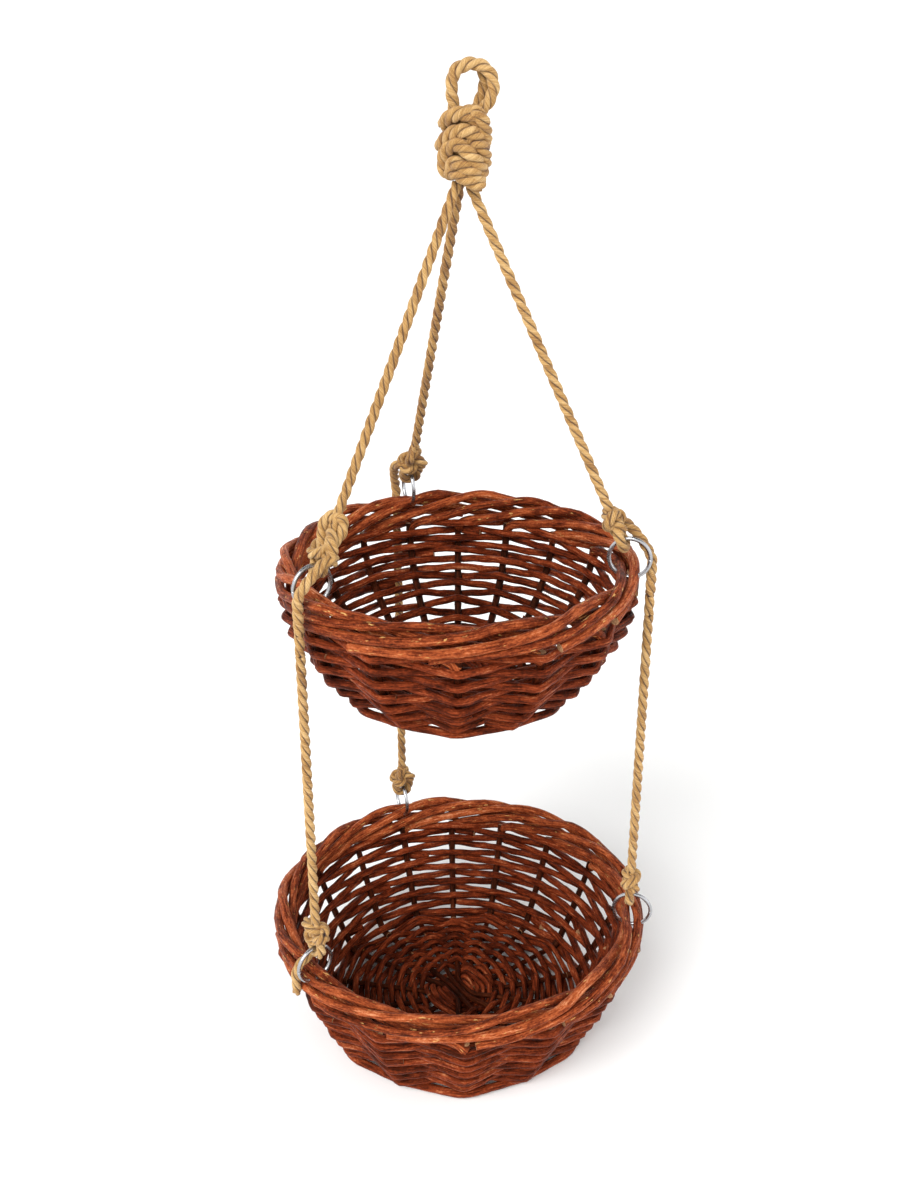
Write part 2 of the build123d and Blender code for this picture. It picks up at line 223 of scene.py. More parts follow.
# Two cross vectors per station that turn as little as possible along the path: frames from a
# fixed reference are untwisted by the running sum of the angle between neighbours.
def frames(path):
    along = tangents(path)
    spread = np.abs(along).mean(axis=0)
    reference = np.eye(3)[int(np.argmin(spread))]
    first = unit(np.cross(along, reference))
    second = np.cross(along, first)
    carried = first[:-1] - along[1:] * np.sum(first[:-1] * along[1:], axis=1, keepdims=True)
    turn = np.arctan2(np.sum(carried * second[1:], axis=1), np.sum(carried * first[1:], axis=1))
    total = np.concatenate([[0.0], np.cumsum(turn)])[:, None]
    return along, first * np.cos(total) + second * np.sin(total), second * np.cos(total) - first * np.sin(total)


# Running length along a path.
def lengths(path):
    return np.concatenate([[0.0], np.cumsum(np.linalg.norm(np.diff(path, axis=0), axis=1))])


# A smooth curve through the points: between two of them it is the cubic whose ends share
# their neighbours' slopes.
def throughPoints(points, perSpan):
    points = np.asarray(points, float)
    padded = np.vstack([2 * points[0] - points[1], points, 2 * points[-1] - points[-2]])
    share = (np.arange(perSpan) / perSpan)[None, :, None]
    a, b, c, d = (padded[i:len(padded) - 3 + i, None, :] for i in range(4))
    spans = 0.5 * (2 * b + (c - a) * share + (2 * a - 5 * b + 4 * c - d) * share ** 2
                   + (3 * b - a - 3 * c + d) * share ** 3)
    return np.vstack([spans.reshape(-1, 3), points[-1:]])


# The same path with its stations evenly spaced.
def evenly(path, spacing):
    run = lengths(path)
    stations = np.linspace(0, run[-1], max(int(run[-1] / spacing), 3) + 1)
    return np.stack([np.interp(stations, run, path[:, axis]) for axis in range(3)], axis=1)


# Softens a closed path's corners: each of its waves k is scaled by exp(-(k width)^2 / 2).
def softened(path, width):
    waves = np.fft.rfftfreq(len(path)) * 2 * np.pi
    scaled = np.fft.rfft(path, axis=0) * np.exp(-0.5 * (waves * width) ** 2)[:, None]
    return np.fft.irfft(scaled, len(path), axis=0)


# A tube: circles of the given radii, square to the path. Station i, side j is at
# path + radius (cos a first + sin a second). Its ends are closed with flat discs. Its lengthwise
# coordinates are metres along and across it, and its tone moves them to another part of the grain.
def tube(path, radius, sides, tone=0.0, creaseShade=None, twist=0.0, offset=0.0, around=None):
    count = len(path)
    along, first, second = frames(path) if around is None else around
    radius = np.broadcast_to(np.asarray(radius, float), (count,))[:, None]
    angle = (np.arange(sides) / sides * 2 * np.pi)[None, :]
    points = (path[:, None, :] + (radius * np.cos(angle))[..., None] * first[:, None, :]
              + (radius * np.sin(angle))[..., None] * second[:, None, :])
    run = lengths(path)[:, None]
    turned = angle + twist * run
    coords = np.stack([np.broadcast_to(run + offset, turned.shape), radius * np.cos(turned),
                       radius * np.sin(turned)], axis=-1) * mm
    coords += tone * 0.7
    station, side = np.meshgrid(np.arange(count - 1), np.arange(sides), indexing="ij")
    after = (side + 1) % sides
    quads = np.stack([station * sides + side, station * sides + after,
                      (station + 1) * sides + after, (station + 1) * sides + side], axis=-1).reshape(-1, 4)
    if np.dot(np.cross(first[0], second[0]), along[0]) < 0:
        quads = quads[:, ::-1]
    creaseShades = np.ones((count, sides)) if creaseShade is None else creaseShade(points)
    return {"points": points.reshape(-1, 3), "quads": quads, "coords": coords.reshape(-1, 3),
            "tone": np.full(count * sides, tone), "creaseShade": creaseShades.reshape(-1),
            "caps": [np.arange(sides), (count - 1) * sides + np.arange(sides)], "along": along}


# One mesh from several tubes, with their lengthwise coordinates, tones and painted crease shade as attributes.
def meshOf(name, tubes, materials, capMaterial=0):
    starts = np.concatenate([[0], np.cumsum([len(item["points"]) for item in tubes])])
    points = np.vstack([item["points"] for item in tubes]) * mm
    faces, slots = [], []
    for item, start in zip(tubes, starts):
        quads = (item["quads"] + start).tolist()
        faces += quads
        slots += [0] * len(quads)
        for cap, sign in zip(item["caps"], (-1, 1)):
            ring = cap + start
            centre = item["points"][cap].mean(axis=0)
            spokes = item["points"][cap] - centre
            facing = np.dot(np.cross(spokes[0], spokes[1]), item["along"][0 if sign < 0 else -1])
            faces.append((ring if facing * sign > 0 else ring[::-1]).tolist())
            slots.append(capMaterial)
    mesh = bpy.data.meshes.new(name)
    mesh.from_pydata(points.tolist(), [], faces)
    for material in materials:
        mesh.materials.append(material)
    mesh.polygons.foreach_set("material_index", slots)
    flat = np.array([len(face) > 4 for face in faces])
    mesh.polygons.foreach_set("use_smooth", ~flat)
    for label, kind, key, part in (("rodCoord", "FLOAT_VECTOR", "coords", "vector"),
                                   ("rodTone", "FLOAT", "tone", "value"), ("creaseShade", "FLOAT", "creaseShade", "value")):
        values = np.concatenate([item[key] for item in tubes]).astype(np.float32)
        mesh.attributes.new(label, kind, "POINT").data.foreach_set(part, values.reshape(-1))
    mesh.update()
    return mesh


# Puts a finished mesh in the scene, on its body, in place of CAD nodes.
def addPiece(name, mesh, body, nodes):
    piece = bpy.data.objects.new(name, mesh)
    bpy.context.scene.collection.objects.link(piece)
    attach(piece, body)
    if nodes:
        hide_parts(*nodes)
    return piece


# The camera as it was fitted to the rims and feet: lens = focal length in pixels / the picture's
# longer side x the sensor's 36 mm, and its shift brings the bowls' axis to its own column.
def placeCamera():
    shot = {"height": 47.5, "distance": 878.5, "pitchDown": 24.98, "focalPixels": 1320.4, "axisPixel": 458.0,
            "middlePixel": 450, "longSide": 1200, "sensor": 36}
    data = bpy.data.cameras.new("photoCamera")
    data.lens = shot["focalPixels"] / shot["longSide"] * shot["sensor"]
    data.shift_x = -(shot["axisPixel"] - shot["middlePixel"]) / shot["longSide"]
    data.clip_start, data.clip_end = 0.01, 200
    camera = bpy.data.objects.new("photoCamera", data)
    camera.location = (axisX * mm, -shot["distance"] * mm, shot["height"] * mm)
    camera.rotation_euler = (np.radians(90 - shot["pitchDown"]), 0, 0)
    bpy.context.scene.collection.objects.link(camera)
    bpy.context.scene.camera = camera


# Two wide soft suns and a sky. Suns keep the floor as bright far off as it is near.
def placeLights():
    # Each sun's way to it, spread and power
    suns = {"keySun": ((-0.55, -0.9, 1.0), 0.6, 2.8), "fillSun": ((1.0, -0.6, 0.7), 1.2, 0.6)}
    for name, (towards, spread, power) in suns.items():
        data = bpy.data.lights.new(name, "SUN")
        data.energy, data.angle = power, spread
        light = bpy.data.objects.new(name, data)
        light.rotation_euler = Vector(towards).to_track_quat("Z", "Y").to_euler()
        bpy.context.scene.collection.objects.link(light)
    world = bpy.data.worlds.new("studio")
    bpy.context.scene.world = world
    world.use_nodes = True
    # The studio's walls are white, and darker overhead
    sky, backdrop = world.node_tree, world.node_tree.nodes["Background"]
    direction = addNode(sky, "ShaderNodeTexCoord").outputs["Generated"]
    height = addNode(sky, "ShaderNodeSeparateXYZ", Vector=direction).outputs["Z"]
    walls = setRamp(addNode(sky, "ShaderNodeValToRGB", _0=height), [(0.4, 1.0), (0.75, 0.12)])
    sky.links.new(walls.outputs[0], backdrop.inputs["Color"])
    backdrop.inputs["Strength"].default_value = 1.5
    bpy.context.scene.view_settings.view_transform = "Standard"


# A flat floor half a millimetre under the lower bowl.
def placeFloor():
    material, tree, shader = newMaterial("paleStudioFloor")
    shader.inputs["Base Color"].default_value = colour("#fdfdfc")
    shader.inputs["Roughness"].default_value = 0.9
    mesh = bpy.data.meshes.new("studioFloor")
    size, level = 80.0, cadBox[0].z - 0.5 * mm
    mesh.from_pydata([(-size, -size, level), (size, -size, level), (size, size, level), (-size, size, level)],
                     [], [(0, 1, 2, 3)])
    mesh.materials.append(material)
    floor = bpy.data.objects.new("studioFloor", mesh)
    bpy.context.scene.collection.objects.link(floor)


placeCamera()
placeLights()
placeFloor()
print("camera, lights and floor placed")


bowls = {
    "upper": {"rimRadius": 132.0, "rimZ": -321.5, "baseRadius": 88.5, "height": 107.0, "bow": 10.0, "turn": 0.0},
    "lower": {"rimRadius": 150.0, "rimZ": -627.0, "baseRadius": 114.0, "height": 110.0, "bow": 2.0, "turn": 2.4},
}
weave = {
    "stakes": 16,
    "drift": 10.0,             # degrees by which the stakes crowd towards the back
    "stakeDiameter": 5.6,
    "stakeSeat": 2.75,         # half a stake, where others lie against it
    "stakeTopDrop": 26.0,      # from the rim to the top of the upright part
    "passOffset": 6.2,         # of a round's middle from the stakes' middle
    "weaverDiameter": 6.0,
    "pitch": 6.5,
    "firstRise": 3.4,          # of the lowest round along the wall
    "collarDrop": 1.5,         # of the highest round from the stakes' upright top
    "borderDiameter": 7.1,
    "borderMiddle": 8.5,       # of the border's middle in from the rim's edge
    "footRise": 7.3,
    "footOffset": 4.0,
    "jointInset": 6.0,         # from the stakes' turn in to the floor sticks' ends
}
floorWeave = {
    "stickDiameter": 4.4,
    "weaverDiameter": 4.8,
    "seat": 4.2,               # of a rod where it is pressed between sticks
    "pitch": 5.4,
    "tieReach": 9.2,
    "tieRounds": 4,
    "slathPitch": 4.9,         # between the four sticks that lie side by side
    "slathHalf": 10.5,         # they stay parallel this far out
    "slathHeading": 33.7,
    "layerGap": 2.35,          # the crossed sticks lie this far over and under the middle
    "outerReach": 3.4,         # of the last round past the sticks' ends
}


# Stakes stand wider at the front: azimuth = 270 + even + drift sin(even).
def azimuthOf(place, turn=0.0):
    even = 360 / weave["stakes"] * np.asarray(place, float)
    return 270 + even + weave["drift"] * np.sin(np.radians(even)) + turn


# Radius and azimuth round the bowls' axis, moved sideways by an offset.
def polar(radius, azimuth, z, sideways=0.0):
    angle = np.radians(azimuth)
    radius, angle, z, sideways = np.broadcast_arrays(radius, angle, z, sideways)
    return np.stack([axisX + radius * np.cos(angle) - sideways * np.sin(angle),
                     radius * np.sin(angle) + sideways * np.cos(angle), z], axis=-1)


# A bowl's section through its stakes: the foot's and top's radius and height, how far the wall
# leans and rises between them, and the radius where the floor sticks end.
def profileOf(bowl):
    foot = bowl["baseRadius"] - weave["passOffset"] - weave["stakeSeat"]
    info = {
        "foot": foot, "footZ": bowl["rimZ"] - bowl["height"] + weave["footRise"],
        "top": bowl["rimRadius"] - weave["borderMiddle"], "topZ": bowl["rimZ"] - weave["stakeTopDrop"],
    }
    info["reach"] = info["top"] - info["foot"]
    info["rise"] = info["topZ"] - info["footZ"]
    info["wall"] = np.hypot(info["reach"], info["rise"])
    info["floor"] = info["foot"] - weave["jointInset"] - weave["stakeSeat"]
    return info


# A point of the wall: radius = foot + reach s + 4 bow s (1 - s), moved off it along its normal.
def wallPoint(bowl, place, share, offset):
    info = profileOf(bowl)
    radius = info["foot"] + info["reach"] * share + 4 * bowl["bow"] * share * (1 - share)
    slopeX = info["reach"] + 4 * bowl["bow"] * (1 - 2 * share)
    size = np.hypot(slopeX, info["rise"])
    return polar(radius + info["rise"] / size * offset, azimuthOf(place, bowl["turn"]),
                 info["footZ"] + info["rise"] * share - slopeX / size * offset)


# Slow wobble: a few sine waves with seeded phases, a share of the given size.
def wobble(run, size, waves=(0.011, 0.027, 0.052)):
    phases = rng.uniform(0, 2 * np.pi, len(waves))
    return size * sum(np.sin(run * 2 * np.pi * wave + phase) for wave, phase in zip(waves, phases)) / len(waves)


# Rod radius: half the diameter x (1 + taper (0.5 - share of its length)), thick at its butt,
# with a swelling at each bud scar: height x exp(-(distance / length)^2).
rodSkin = {"waver": 0.14, "scarHeight": 0.32, "scarLength": 2.0, "firstScar": (5, 30), "scarSpacing": (28, 46)}


def rodRadius(path, diameter, taper=0.12, tipAtEnd=None):
    run = lengths(path)
    share = run / run[-1]
    if not (rng.random() < 0.5 if tipAtEnd is None else tipAtEnd):
        share = 1 - share
    radius = diameter / 2 * (1 + taper * (0.5 - share)) + wobble(run, rodSkin["waver"])
    scars = np.arange(rng.uniform(*rodSkin["firstScar"]), run[-1], rng.uniform(*rodSkin["scarSpacing"]))
    away = (run[:, None] - scars[None, :]) / rodSkin["scarLength"]
    return radius + rodSkin["scarHeight"] * np.exp(-away ** 2).sum(axis=1)


# A woven round: through its 16 crossings as a closed path with softened corners. It starts
# midway between two stakes and runs on past its start, where tip and butt lie side by side.
def wovenRound(turn, placePoint, diameter, perSpan=14, softness=0.75, sides=10, loose=0.6, lap=0.85):
    count = weave["stakes"]
    corners = placePoint(5 * turn % count + 1 + np.arange(count))
    outward = unit((corners - corners.mean(axis=0)) * np.array([1, 1, 0]))
    corners = corners + outward * rng.normal(0, loose * 0.6, (count, 1))
    corners = corners + upVector * rng.normal(0, loose, (count, 1))
    ring = np.vstack([corners, corners[:1]])
    steps = np.arange(count * perSpan) / perSpan
    path = np.stack([np.interp(steps, np.arange(len(ring)), ring[:, axis]) for axis in range(3)], axis=1)
    path = np.roll(softened(path, softness), perSpan // 2, axis=0)
    over = int(perSpan * lap)
    path = np.vstack([path, path[:over]])
    run = lengths(path)
    span = run[over] + 1
    apart = np.exp(-((run[-1] - run) / span) ** 2) - np.exp(-(run / span) ** 2)
    away = unit((path - corners.mean(axis=0)) * np.array([1, 1, 0]))
    path = path + upVector * (wobble(run, loose) + apart * diameter * 0.27)[:, None]
    path = path + away * (apart * diameter * 0.22)[:, None]
    radius = rodRadius(path, diameter * rng.uniform(0.93, 1.07), 0.1, True)
    radius = radius * (1 - 0.3 * np.exp(-((run[-1] - run) / span) ** 2))
    return tube(path, radius, sides, tone=rng.uniform(-1, 1), offset=rng.uniform(0, 500))


# Which side of a stake a round passes: outside where stake and turn add up to an odd number.
def sideOf(place, turn):
    return np.where((np.asarray(place) + turn) % 2, 1.0, -1.0)


# The foot's round lies outside the stakes' turn. It swings out past every second stake and sits
# closer under the others: swing = footOffset + rest - sway x side, drop = rest + slope x swing.
footRound = {"diameter": 6.4, "softness": 1.6, "loose": 0.3}
footSwing = {"rest": 0.6, "sway": 2.2, "drop": 3.3, "slope": 0.1}


def footPoint(bowl, place):
    info = profileOf(bowl)
    swing = weave["footOffset"] + footSwing["rest"] - footSwing["sway"] * sideOf(place, 0)
    return polar(info["foot"] + swing, azimuthOf(place, bowl["turn"]),
                 info["footZ"] - footSwing["drop"] - footSwing["slope"] * swing)


# The wall: the foot's round, then rounds in and out up to the border, one pitch apart.
def wallRounds(bowl):
    info = profileOf(bowl)
    first = weave["firstRise"] / info["wall"]
    last = 1 - weave["collarDrop"] / info["wall"]
    count = round((last - first) * info["wall"] / weave["pitch"]) + 1
    rounds = [wovenRound(2, lambda place: footPoint(bowl, place), **footRound)]
    for turn, share in enumerate(np.linspace(first, last, count)):
        rounds.append(wovenRound(turn, lambda place: wallPoint(
            bowl, place, share, sideOf(place, turn) * weave["passOffset"]), weave["weaverDiameter"]))
    return rounds


# Stakes: each leaves the floor flat, turns up at the foot and follows the wall to its top.
def stakeRods(bowl):
    info = profileOf(bowl)
    shares = np.linspace(0.06, 1, 8)
    rods = []
    for number in range(weave["stakes"]):
        azimuth = azimuthOf(number, bowl["turn"])
        points = np.vstack([polar(info["floor"], azimuth, info["footZ"]),
                            polar(info["foot"] - 3, azimuth, info["footZ"] + 0.3),
                            wallPoint(bowl, np.full(len(shares), number), shares, 0.0)])
        path = evenly(throughPoints(points, 10), 2.0)
        rods.append(tube(path, rodRadius(path, weave["stakeDiameter"]), 10, tone=rng.uniform(-1, 1),
                         offset=rng.uniform(0, 500)))
    return rods


# Border rods in the rim's section, outwards and upwards from its outer top corner: each has its
# cut end outside, goes over the top and down inside, and is the top of the stake five places on.
borderSection = np.array([(-3.4, -23.6), (-3.2, -19.5), (-3.3, -13.8), (-4.4, -7.8), (-8.4, -3.7), (-12.7, -6.4),
                          (-13.6, -12.6), (-12.9, -19.0), (-10.2, -26.0), (-8.5, -33.0)])
borderPlaces = np.array([0.0, 0.6, 1.3, 2.0, 2.5, 3.0, 3.6, 4.2, 4.85, 5.0])


def borderRods(bowl):
    rods = []
    for number in range(weave["stakes"]):
        loose = rng.normal(0, 0.6, (len(borderSection) - 2, 2)) + rng.normal(0, 0.6, 2)
        section = borderSection + np.vstack([loose, np.zeros((2, 2))])
        places = number + borderPlaces + np.append(rng.uniform(-0.35, 0.2), np.zeros(len(borderPlaces) - 1))
        points = polar(bowl["rimRadius"] + section[:, 0], azimuthOf(places, bowl["turn"]),
                       bowl["rimZ"] + section[:, 1])
        path = evenly(throughPoints(points, 14), 2.0)
        radius = rodRadius(path, weave["borderDiameter"] * rng.uniform(0.88, 1.08), 0.2, False)
        rods.append(tube(path, radius, 12, tone=rng.uniform(-1, 1), offset=rng.uniform(0, 500)))
    return rods


# A point of a floor stick: parallel to its three neighbours up to slathHalf, then straight out
# to its stake as a ray.
def rayPoint(bowl, place, reach, rise=0.0):
    info = profileOf(bowl)
    place = np.asarray(place) % weave["stakes"]
    reach = np.broadcast_to(np.asarray(reach, float), place.shape)
    group, number = np.divmod(place, 4)
    heading = np.radians(floorWeave["slathHeading"] + 90 * (group - 1))
    layer = floorWeave["layerGap"] * (1 - 2 * (group % 2))
    side = floorWeave["slathPitch"] * (number - 1.5)
    start = np.minimum(reach, floorWeave["slathHalf"])
    corner = np.stack([axisX + np.cos(heading) * start - np.sin(heading) * side,
                       np.sin(heading) * start + np.cos(heading) * side, info["footZ"] + layer], axis=-1)
    past = np.maximum(reach - floorWeave["slathHalf"], 0)
    share = (past / (info["floor"] - floorWeave["slathHalf"]))[..., None]
    end = polar(info["floor"], azimuthOf(place, bowl["turn"]), info["footZ"])
    return corner + (end - corner) * share + upVector * np.asarray(rise)[..., None]


# Floor sticks: four each way, each a ray in from one stake and out to the one across from it.
def floorSticks(bowl):
    info = profileOf(bowl)
    rods = []
    for group in (0, 1):
        for number in range(4):
            near = 4 * group + number
            far = near + 11 - 2 * number
            reaches = np.linspace(info["floor"] - 0.3, 0, 9)
            points = np.vstack([rayPoint(bowl, np.full(9, near), reaches),
                                rayPoint(bowl, np.full(8, far), reaches[7::-1])])
            path = evenly(throughPoints(points, 10), 2.5)
            rods.append(tube(path, rodRadius(path, floorWeave["stickDiameter"]), 10, tone=rng.uniform(-1, 1),
                             offset=rng.uniform(0, 500)))
    return rods


# Floor rounds: the first few tie the four sticks each way together, over one four and under the
# next, and the rest pass over and under single rays.
def floorRounds(bowl):
    info = profileOf(bowl)
    offset = (floorWeave["stickDiameter"] + floorWeave["seat"]) / 2 + 0.6
    size = dict(diameter=floorWeave["weaverDiameter"], perSpan=8, softness=1.3, sides=8, loose=0.25)
    rods = []
    for turn in range(floorWeave["tieRounds"]):
        reach = floorWeave["tieReach"] + floorWeave["pitch"] * turn
        rods.append(wovenRound(4 * turn, lambda place: rayPoint(
            bowl, place, reach, np.where(np.asarray(place) % 8 < 4, -offset, offset)), **size))
    first = floorWeave["tieReach"] + floorWeave["pitch"] * floorWeave["tieRounds"]
    last = info["floor"] - floorWeave["seat"] / 2 - 0.3
    count = round((last - first) / floorWeave["pitch"]) + 1
    for turn, reach in enumerate(np.linspace(first, last, count)):
        rods.append(wovenRound(turn, lambda place: rayPoint(
            bowl, place, reach, offset * sideOf(place, turn)), **size))
    # One more where the stakes leave the floor, over those that the wall's first round passes outside
    rods.append(wovenRound(count + 1, lambda place: polar(
        info["floor"] + floorWeave["outerReach"], azimuthOf(place, bowl["turn"]),
        info["footZ"] + offset * sideOf(place, 0)), **size))
    return rods


# A bowl: its rods, grouped as the model's nodes are, each group one mesh on the bowl's body. The
# wall's rounds are in thirds.
def weaveBowl(name, body):
    bowl = bowls[name]
    rounds = wallRounds(bowl)
    third = -(-len(rounds) // 3)
    groups = {
        "stakes": stakeRods(bowl), "rounds_low": rounds[:third], "rounds_middle": rounds[third:2 * third],
        "rounds_high": rounds[2 * third:], "border": borderRods(bowl), "base_sticks": floorSticks(bowl),
        "base_rounds": floorRounds(bowl),
    }
    for part, tubes in groups.items():
        # Stakes and floor sticks take the darker bark, whose colour is painted shade
        bark = {"border": borderBark, "stakes": shadedStakeBark, "base_sticks": shadedStakeBark}.get(part, willowBark)
        mesh = meshOf(name + "_" + part, tubes, [bark, willowCut], capMaterial=1)
        addPiece("willow_" + name + "_" + part, mesh, body, [name + "_" + part])
    print(name, "bowl woven:", len(rounds), "wall rounds")


weaveBowl("upper", "cradle")
weaveBowl("lower", "lower_bowl")


hanger = {
    "crownOffset": 3.0,        # the crown knot stands this far to the right of the bowls' axis
    "loopWidth": 33.0,
    "loopOpening": 25.0,
    "loopRope": {"diameter": 7.8, "pitch": 24.0},
    "loopFoot": (4.2, -30.5),  # how far apart and how low the loop's ropes end in the knot
    "crownHeight": 45.0,
    "pivotDrop": 4.0,
    "legRootRise": 16.0,
    "legGather": 4.5,
}
rope = {"diameter": 7.0, "pitch": 27.0, "gap": 0.3, "hingeGap": 0.95, "strand": 0.262}
ringStakes = {"left": -2, "right": 3, "back": -7}
ringSize = {"radius": 14.5, "wire": 3.0, "lift": 5.5}
dropLine = {
    "radius": 139.0,
    "bendDrop": 24.0,          # from the rim to the hinge where the link begins
    "linkLength": 14.0,
    "linkLap": 0.6,            # the link's rope goes this far past its ends
    "underRim": 7.0,
    "overRim": [(138.2, 6.8, 4), (131, 9.5, 15), (121, 11.6, 25)],    # radius, sideways and rise
}
crownX = axisX + hanger["crownOffset"]


# Three strands laid round the path: each has the radius 0.262 D, and strand k's middle is as far
# from the path, at the angle -(2 pi s / pitch) + 2 pi k / 3, so the lay slants down to the right.
def layRope(path, diameter=rope["diameter"], startPhase=0.0, spacing=0.9, sides=10, ends=0.0,
            pitch=rope["pitch"], paintedShade=0.0):
    path = evenly(np.asarray(path, float), spacing)
    along, first, second = frames(path)
    run = lengths(path)
    tubes = []
    # Where ends is set, the rope narrows to a blunt end over that length: sqrt(1 - (1 - share)^2)
    narrow = np.ones_like(run)
    if ends:
        share = np.clip(np.minimum(run, run[-1] - run) / ends, 0, 1)
        narrow = np.sqrt(np.clip(1 - (1 - share) ** 2, 0.05, 1))
    for strand in range(3):
        phase = startPhase - 2 * np.pi * run / pitch + 2 * np.pi * strand / 3
        radius = rope["strand"] * diameter * narrow
        line = path + radius[:, None] * (np.cos(phase)[:, None] * first + np.sin(phase)[:, None] * second)

        # 0 in the rope's middle, 1 where a strand stands out furthest; the rope's material paints shade where it
        # is low
        def creaseShade(points):
            away = np.linalg.norm(points - path[:, None, :], axis=-1)
            return np.clip((away / (diameter / 2) - 0.35) / 0.65, 0, 1)

        # A strand's tone is random, less its rope's painted shade
        tubes.append(tube(line, radius, sides, tone=rng.uniform(-1, 1) - paintedShade, creaseShade=creaseShade, twist=0.55,
                          offset=rng.uniform(0, 300)))
    return tubes


# The stations of a rope's smooth line, read from the route's own spline curve.
def routeLine(points):
    data = bpy.data.curves.new("route", "CURVE")
    data.dimensions = "3D"
    spline = data.splines.new("NURBS")
    spline.points.add(len(points) - 1)
    for slot, point in zip(spline.points, points):
        slot.co = (*(np.asarray(point, float) * mm), 1)
    spline.order_u = 3
    spline.use_endpoint_u = True
    data.resolution_u = 24
    curve = bpy.data.objects.new("route", data)
    bpy.context.scene.collection.objects.link(curve)
    bpy.context.view_layer.update()
    mesh = bpy.data.meshes.new_from_object(curve.evaluated_get(bpy.context.evaluated_depsgraph_get()))
    line = np.array([vertex.co[:] for vertex in mesh.vertices]) / mm
    bpy.data.objects.remove(curve)
    bpy.data.meshes.remove(mesh)
    return line


# One piece of jute rope, in place of the nodes that it dresses.
def ropePiece(name, tubes, body, nodes):
    return addPiece(name, meshOf(name, tubes, [juteRope]), body, nodes)


# The loop's two ropes side by side, as shares of its width and of its opening's height.
loopShares = {
    "front": [(-0.46, -0.78), (-0.5, -0.4), (-0.42, -0.06), (-0.2, 0.1), (0.0, 0.14),
              (0.22, 0.1), (0.42, -0.08), (0.5, -0.4), (0.36, -0.78)],
    "back": [(-0.46, -0.78), (-0.5, -0.4), (-0.44, -0.06), (-0.22, 0.1), (0.0, 0.14),
             (0.16, 0.08), (0.28, -0.12), (0.28, -0.42), (0.16, -0.78)],
}
for name, sign in (("front", -1), ("back", 1)):
    depth = sign * (rope["diameter"] / 2 + 0.15)
    span = hanger["loopWidth"] - rope["diameter"]
    splay, footZ = hanger["loopFoot"]
    points = [(crownX - splay, depth, footZ)]
    points += [(span * x, depth, hanger["loopOpening"] * z) for x, z in loopShares[name]]
    points.append((crownX + splay, depth, footZ))
    ropePiece("loop_rope_" + name, layRope(throughPoints(points, 12), **hanger["loopRope"]), "hanging_loop",
              ["hanging_loop_" + name])

# The crown knot: five turns of rope, each given by its points across the front and closed round
# the back, then two strands over them: one down its shoulder and one beside the third turn.
# Points are (right, back, up) from the knot's top, worked out from the photo.
crownTop = -hanger["loopOpening"]
crownBottom = crownTop - hanger["crownHeight"]
base = np.array([crownX, 0, crownTop])
knotRope = {"diameter": 9.2, "pitch": 21.0}
frontTurns = [
    [(-12, 0, -8.4), (-9.1, -7, -3), (-3.1, -12, 0.2), (3.6, -13, -0.2), (9.6, -10, -5.2), (13, -3, -12.2)],
    [(-13.3, 0, -19.9), (-9.9, -7.5, -14.3), (-3.1, -12.5, -9.8), (4.5, -13.3, -10.2), (10.4, -10.5, -13.2),
     (13.4, -4, -18.2)],
    [(-10.8, 0, -35.1), (-12, -3, -28.1), (-9.9, -8, -21.5), (-4.8, -12.5, -17.5), (0.3, -14, -19.7),
     (5.3, -14, -24.3), (10, -11, -29.9), (12.1, -4, -35.1)],
    [(-7.8, -3, -31.8), (-5.7, -9, -29), (-2.3, -12, -29.5), (2.8, -13, -31.8), (7.9, -11, -35.7),
     (10.6, -5, -40.2)],
    [(-7.8, -2, -36), (-6.1, -7.5, -34.8), (-1.9, -10.5, -36.5), (3.6, -11.5, -39.2), (8.7, -10, -41.6),
     (12.3, -7, -43.2)],
]
overStrands = {
    "shoulder": [(0.3, -2, -0.5), (4.9, -10, 1.4), (10, -14.5, 0), (13.1, -13.5, -5.6), (14.4, -7, -14),
                 (12, 0, -19)],
    "besideThird": [(2.8, -9.5, -17.7), (8.7, -13, -16.8), (13.1, -10.5, -20.8), (14.2, -5, -27.6),
                    (13.4, 0, -33.2)],
}
backBulge = 11.5    # how far behind its ends a turn goes round the back
turnsRound = []
for number, front in enumerate(frontTurns):
    turnsRound += front
    if number < len(frontTurns) - 1:
        start, stop = front[-1], frontTurns[number + 1][0]
        for share in (0.25, 0.5, 0.75):
            reach = (start[0] - stop[0]) / 2
            turnsRound.append((stop[0] + reach * (1 + np.cos(np.pi * share)),
                               1 + backBulge * np.sin(np.pi * share), start[2] + (stop[2] - start[2]) * share))
knotTubes = layRope(throughPoints(base + np.array(turnsRound), 8), ends=2.0, **knotRope)
for points in overStrands.values():
    knotTubes += layRope(throughPoints(base + np.array(points), 8), knotRope["diameter"] - 0.6,
                         ends=2.0, pitch=knotRope["pitch"])
ropePiece("crown_wrapping", knotTubes, "crown", ["crown_wraps"])
core = np.array([(crownX, 0, crownBottom + 8), (crownX, 0, crownTop - 4.5)])
ropePiece("crown_heart", layRope(evenly(core, 2), 18.0), "crown", ["crown_core"])

crownPivot = np.array([crownX, 0, crownBottom - hanger["pivotDrop"]])
legRoot = crownPivot + upVector * hanger["legRootRise"]


# A ring's middle: over the middle of the border, at its stake.
def ringCentre(bowl, side):
    return polar(bowl["rimRadius"] - weave["borderMiddle"], azimuthOf(ringStakes[side], bowl["turn"]),
                 bowl["rimZ"] + ringSize["lift"])


